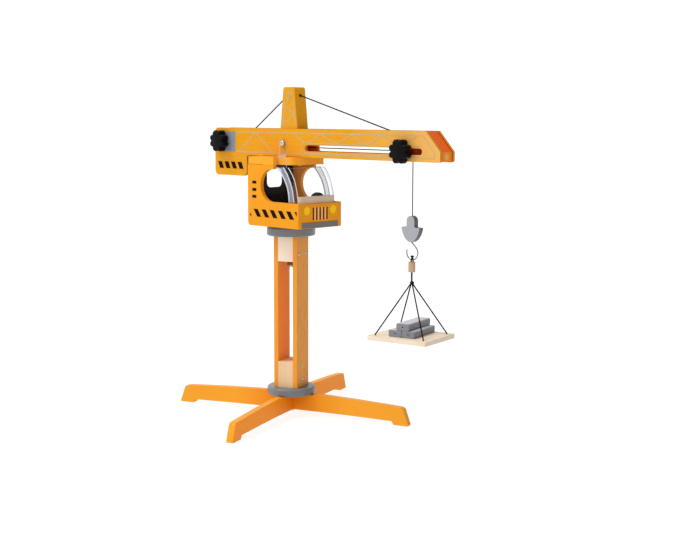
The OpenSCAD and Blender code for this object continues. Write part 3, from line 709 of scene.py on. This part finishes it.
# the rolled rear edges and two ridges along each cheek, with a milky band from the edge to the first ridge
b = Builder()
for side in (-1, 1):
    for xs, back, inset, r in ((rears, 0, 0, 1.25), (firsts, 0, 0, 1.0), (seconds, 1.5, 0.4, 0.7)):
        b.tube(rounded([(x - back, side * (WALL - inset), z) for x, z in zip(xs, zs)], 0, 2.0), r, 10)
b.make("visor_rims", "clear_ridge", "visor", True)
b = Builder()
for side in (-1, 1):
    for y in (WALL, WALL + 0.5):
        b.add(*net([[(xr + (xf - xr) * c / 3, side * y, z) for c in range(4)] for xr, xf, z in zip(rears, firsts, zs)]))
b.make("visor_band", "clear_band", "visor", True)

# ---------------------------------------------------------------- knobs and screws

KNOB_R, LOBE_DEPTH = 19.5, 5.8  # radius over the lobes, and how deep the hollows between them are


def star(b, x, z):
    """Eight-lobed hand knob outside the near panel, its face domed and its edges rounded."""
    profile = [(0.02, -34.4), (0.3, -34.4), (0.42, -34.0), (0.5, -33.8), (0.78, -34.1), (0.88, -33.6), (0.95, -32.6),
               (0.99, -31.2), (1.0, -29.4), (1.0, -22.2), (0.985, -21), (0.9, -20.1), (0.5, -19.9), (0.43, -19.6),
               (0.43, -17.75)]
    sides = 128
    verts = []
    for scale, y in profile:
        for i in range(sides):
            t = 2 * math.pi * i / sides
            lobe = (math.cos(4 * (t - math.pi / 8)) ** 2 + 0.02) ** 0.4
            depth = LOBE_DEPTH * min(1, max(0, (scale - 0.45) / 0.4))
            r = scale * (KNOB_R - depth * (1 - lobe))
            verts.append(at(x + r * math.cos(t), y, z + r * math.sin(t)))
    n = len(profile)
    b.add(verts, [(k * sides + i, k * sides + (i + 1) % sides, (k + 1) * sides + (i + 1) % sides, (k + 1) * sides + i)
                  for k in range(n - 1) for i in range(sides)]
          + [tuple(range(sides)), tuple((n - 1) * sides + i for i in range(sides))])


for name, x, z, body in (("winch", WINCH_X, WINCH_Z, "winch"), ("trolley", 269, SLOT_Z, "clamp")):
    b = Builder()
    star(b, x, z)
    knob = b.make(f"{name}_star_knob", "black_knob", body, True)
    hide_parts(f"{name}_knob")


def on_mast(out, along, z):
    """A point or direction out from the mast's right panel and along it."""
    c, s = math.cos(SPIN), math.sin(SPIN)
    return out * c - along * s, out * s + along * c, z


b = Builder()
for side in (1, -1):
    for y, z in ((-13, 280), (13, 280), (0, 62), (0, 84)):
        b.screw(on_mast(side * 21.5, y, z), on_mast(side, 0, 0), 3.4, 0.9)
b.make("mast_screw_heads", "steel", "base")
b = Builder()
for side in (1, -1):
    b.screw((0, side * 21.4, 466), (0, side, 0), 4.9, 1.5)
b.make("visor_screw_heads", "steel", "upper")

# ---------------------------------------------------------------- printed markings


def band(points, width, closed=False):
    """Mitred strips along a line of (u, v)."""
    pts = [Vector(p) for p in points]
    n = len(pts)
    left, right = [], []
    for k in range(n):
        prev = pts[k - 1] if (k or closed) else None
        nxt = pts[(k + 1) % n] if (k < n - 1 or closed) else None
        d1 = (pts[k] - prev).normalized() if prev is not None else (nxt - pts[k]).normalized()
        d2 = (nxt - pts[k]).normalized() if nxt is not None else d1
        n1, n2 = Vector((-d1.y, d1.x)), Vector((-d2.y, d2.x))
        m = (n1 + n2).normalized()
        m *= min(2.5, 1 / max(0.2, m.dot(n1))) * width / 2
        left.append(pts[k] + m)
        right.append(pts[k] - m)
    last = n if closed else n - 1
    return [[tuple(left[k]), tuple(left[(k + 1) % n]), tuple(right[(k + 1) % n]), tuple(right[k])] for k in range(last)]


def circle(u, v, r, n=32):
    return [(u + r * math.cos(2 * math.pi * k / n), v + r * math.sin(2 * math.pi * k / n)) for k in range(n)]


def slant(u, v, width, lean, height):
    """A leaning bar from its top left corner."""
    return [(u, v), (u + width, v), (u + width + lean, v - height), (u + lean, v - height)]


LINE = 2.2  # width of the thin lines
INK_BACK, INK_FRONT, INK_STEP = 0.01, 0.1, 0.012  # how far a print stands off its face, each shape a step further


def box(u0, v0, u1, v1):
    return [(u0, v0), (u1, v0), (u1, v1), (u0, v1)]


def printed(name, ink, o, face, shapes, body="upper"):
    """A piece of thin printed shapes on a flat face through o. face holds the directions of u, of v and outwards."""
    o, across, up_face, outward = (Vector(v) for v in (o, *face))
    b = Builder()
    for k, shape in enumerate(shapes):  # each a hair above the last, so that crossing lines stay apart
        n = len(shape)
        low = [o + across * u + up_face * v + outward * INK_BACK for u, v in shape]
        top = [o + across * u + up_face * v + outward * (INK_FRONT + INK_STEP * k) for u, v in shape]
        faces = [tuple(range(n, 2 * n))] + [(i, (i + 1) % n, n + (i + 1) % n, n + i) for i in range(n)]
        b.add([at(*p) for p in low + top], faces)
    b.make(name, ink, body)


JIB_FACE, CAB_FACE, POST_FACE = 17.25, 50, 12.25  # outer faces, from the crane's middle plane
MAST_FACE = 22  # outer face of a mast panel, from the mast's axis
CAB_FRONT, TIP_END = 70.2, 339.5  # faces turned to +X
TO_FRONT = ((0, 1, 0), (0, 0, 1), (1, 0, 0))

for side, name in ((-1, "near"), (1, "far")):
    face = ((1, 0, 0), (0, 0, 1), (0, side, 0))
    jib, cab, post = ((0, side * y, 0) for y in (JIB_FACE, CAB_FACE, POST_FACE))
    # jib: border, braces, the zigzag over the slot and the slot's outline
    shapes = band([(-121, 484), (307, 484), (329.5, 458.5), (329.5, 449.8), (-121, 449.8)], LINE)
    shapes += band([(-112, 450.6), (-70, 483.2), (-28, 450.6)], LINE)
    shapes += band([(28, 483.2), (50, 467.4), (58, 467.4), (88, 483.2), (124, 467.4), (158, 483.2), (192, 467.4),
                    (225, 483.2), (260, 467.4), (294, 483.2)], LINE)
    shapes += band([(46.2, SLOT_Z), (46.2, 462.8), (50.2, 467.3), (300, 467.3)], LINE * 0.8)
    shapes += band([(46.2, SLOT_Z), (46.2, 456.2), (50.2, 451.8), (300, 451.8)], LINE * 0.8)
    printed(f"jib_lines_{name}", "ink_line", jib, face, shapes)
    printed(f"jib_band_{name}", "ink_grey", jib, face, [box(-172, 449.6, -122.5, 484.4)])
    stripes = [slant(-170 + 17.5 * k, 432, 10.6, 5.3, 12) for k in range(4)]
    printed(f"jib_stripes_{name}", "ink_black", jib, face, stripes)
    # cab side: leaning stripes, cut off at both ends, and three vents
    shapes = [slant(-39.6 + 20.05 * k, 356, 10.3, 9, 13) for k in range(5)]
    shapes += [[(-48, 349), (-44.6, 344), (-49, 344)], [(60.6, 356), (66, 356), (66, 348.5)]]
    shapes += [box(-42.5, z - 2.4, -32.4, z + 2.4) for z in (401, 388.6, 377)]
    printed(f"cab_stripes_{name}", "ink_black", cab, face, shapes)
    printed(f"roof_seam_{name}", "ink_seam_and_shadow", cab, face, [box(-53, 431.1, -16, 431.9)])
    # post: truss lines and a pulley
    shapes = band([(-7.6, 493), (-2.2, 537)], LINE) + band([(23.6, 493), (18.2, 537)], LINE)
    shapes += band([(-7, 497), (20, 515), (-3.6, 530)], LINE)
    printed(f"post_lines_{name}", "ink_line", post, face, shapes)
    shapes = band(circle(POST_X, STAY_Z, 6.2, 40), LINE, True) + [circle(POST_X, STAY_Z, 2.4)]
    printed(f"post_pulley_{name}", "ink_line", post, face, shapes)
    # painted shadow: the dark line where the jib stands on the roof
    printed(f"jib_foot_shadow_{name}", "ink_seam_and_shadow", jib, face, [box(-53, 444.1, 43, 445.1)])

# painted shade in the mouth of the stay cord's hole, on the post's sloping front and back
for side, name in ((1, "front"), (-1, "rear")):
    face = ((0, 1, 0), (-0.134 * side, 0, 0.991), (0.991 * side, 0, 0.134))
    printed(f"stay_hole_{name}", "ink_maroon", (POST_X + side * 15, 0, STAY_Z), face, [circle(0, 0, 2.7, 28)])

# cab front
front = (CAB_FRONT, 0, 0)
printed("headlights", "ink_yellow", front, TO_FRONT, [circle(y, 357, 7, 40) for y in (-30.6, 30.6)])
printed("grille", "ink_maroon", front, TO_FRONT, [box(y - 1.5, 341, y + 1.5, 362) for y in (-16, -8, 0, 8, 16)])
printed("grille_bars", "ink_cream", front, TO_FRONT, [box(y - 1.2, 341, y + 1.2, 362) for y in (-12, -4, 4, 12)])
printed("bumper", "ink_bumper", front, TO_FRONT, [box(-42.6, 328.2, 42.6, 337)])
# painted shadow: the dark line along the top of the bumper
printed("bumper_shadow", "ink_seam_and_shadow", front, TO_FRONT, [box(-42.6, 337, 42.6, 338.3)])

# mast: truss lines on the outer face of each panel
zigzag = [(-15, 303), (15, 272), (-15, 238), (15, 204), (-15, 170), (15, 136), (-15, 102), (15, 68)]
shapes = band([(-17.5, 306), (17.5, 306), (17.5, 55), (-17.5, 55)], LINE, True) + band(zigzag, LINE)
for side, name in ((1, "right"), (-1, "left")):
    face = (on_mast(0, 1, 0), (0, 0, 1), on_mast(side, 0, 0))
    printed(f"mast_lines_{name}", "ink_mast", on_mast(side * MAST_FACE, 0, 0), face, shapes, "base")

# the painted end of the jib's tip, and the dowel's end in it
printed("tip_face", "ink_orange", (TIP_END, 0, 0), TO_FRONT, [box(-12.2, 445, 12.2, 460)])
printed("tip_dowel", "ink_pale", (TIP_END + 0.1, 0, 0), TO_FRONT, [circle(0, 452.5, 4.6, 36)])

# ---------------------------------------------------------------- floor and light

FLOOR_HALF, FLOOR_Z = 40, -0.0004  # metres; just under the feet
BACKDROP = 1.04  # brightness of the studio, as lit and as seen

floor_mesh = bpy.data.meshes.new("floor")
floor_mesh.from_pydata([(i * FLOOR_HALF, j * FLOOR_HALF, FLOOR_Z) for i, j in CORNERS], [], [(0, 1, 2, 3)])
floor = bpy.data.objects.new("floor", floor_mesh)
bpy.context.scene.collection.objects.link(floor)
lit = Shader("floor", Roughness=0.8, IOR=1.2, Emission_Strength=0.84)
lit.bsdf.inputs["Emission Color"].default_value = (1, 1, 1, 1)
even = lit.noise(lit.place(), 3, 1)
lit.link(lit.ramp(even, [(0.3, (0.20, 0.20, 0.20)), (0.7, (0.205, 0.205, 0.205))]), lit.bsdf.inputs["Base Color"])
floor_mesh.materials.append(lit.material)

# a white studio: bright all round but on the right and high up, where dark cards hold the light back
world = bpy.data.worlds.new("studio")
bpy.context.scene.world = world
world.use_nodes = True
nt = world.node_tree
background = nt.nodes["Background"]
background.inputs["Color"].default_value = (1, 1, 1, 1)
where = nt.nodes.new("ShaderNodeTexCoord")


def world_span(vector, a0, a1, b0, b1):
    """b0 to b1 as the direction's share of the vector goes from a0 to a1."""
    dot = nt.nodes.new("ShaderNodeVectorMath")
    dot.operation = "DOT_PRODUCT"
    nt.links.new(where.outputs["Generated"], dot.inputs[0])
    dot.inputs[1].default_value = vector
    n = nt.nodes.new("ShaderNodeMapRange")
    n.interpolation_type = "SMOOTHSTEP"
    for key, v in zip(("From Min", "From Max", "To Min", "To Max"), (a0, a1, b0, b1)):
        n.inputs[key].default_value = v
    nt.links.new(dot.outputs["Value"], n.inputs[0])
    return n.outputs[0]


product = nt.nodes.new("ShaderNodeMath")
product.operation = "MULTIPLY"
nt.links.new(world_span((0.723, 0.691, 0), 0.36, 0.85, BACKDROP, 0.16), product.inputs[0])
nt.links.new(world_span((0, 0, 1), 0.2, 0.7, 1.0, 0.75), product.inputs[1])
seen = nt.nodes.new("ShaderNodeMix")  # the backdrop itself is white from every side
nt.links.new(nt.nodes.new("ShaderNodeLightPath").outputs["Is Camera Ray"], seen.inputs[0])
nt.links.new(product.outputs[0], seen.inputs[2])
seen.inputs[3].default_value = BACKDROP
nt.links.new(seen.outputs[0], background.inputs["Strength"])

sun = bpy.data.lights.new("key", "SUN")
sun.energy = 1.7
sun.angle = math.radians(28)
key = bpy.data.objects.new("key", sun)
bpy.context.scene.collection.objects.link(key)
key.rotation_euler = Vector((0.30, 0.38, -0.87)).to_track_quat("-Z", "Y").to_euler()

view = bpy.context.scene.view_settings
view.view_transform = "Standard"
view.look = "None"
view.exposure = 0.0

bpy.context.view_layer.update()
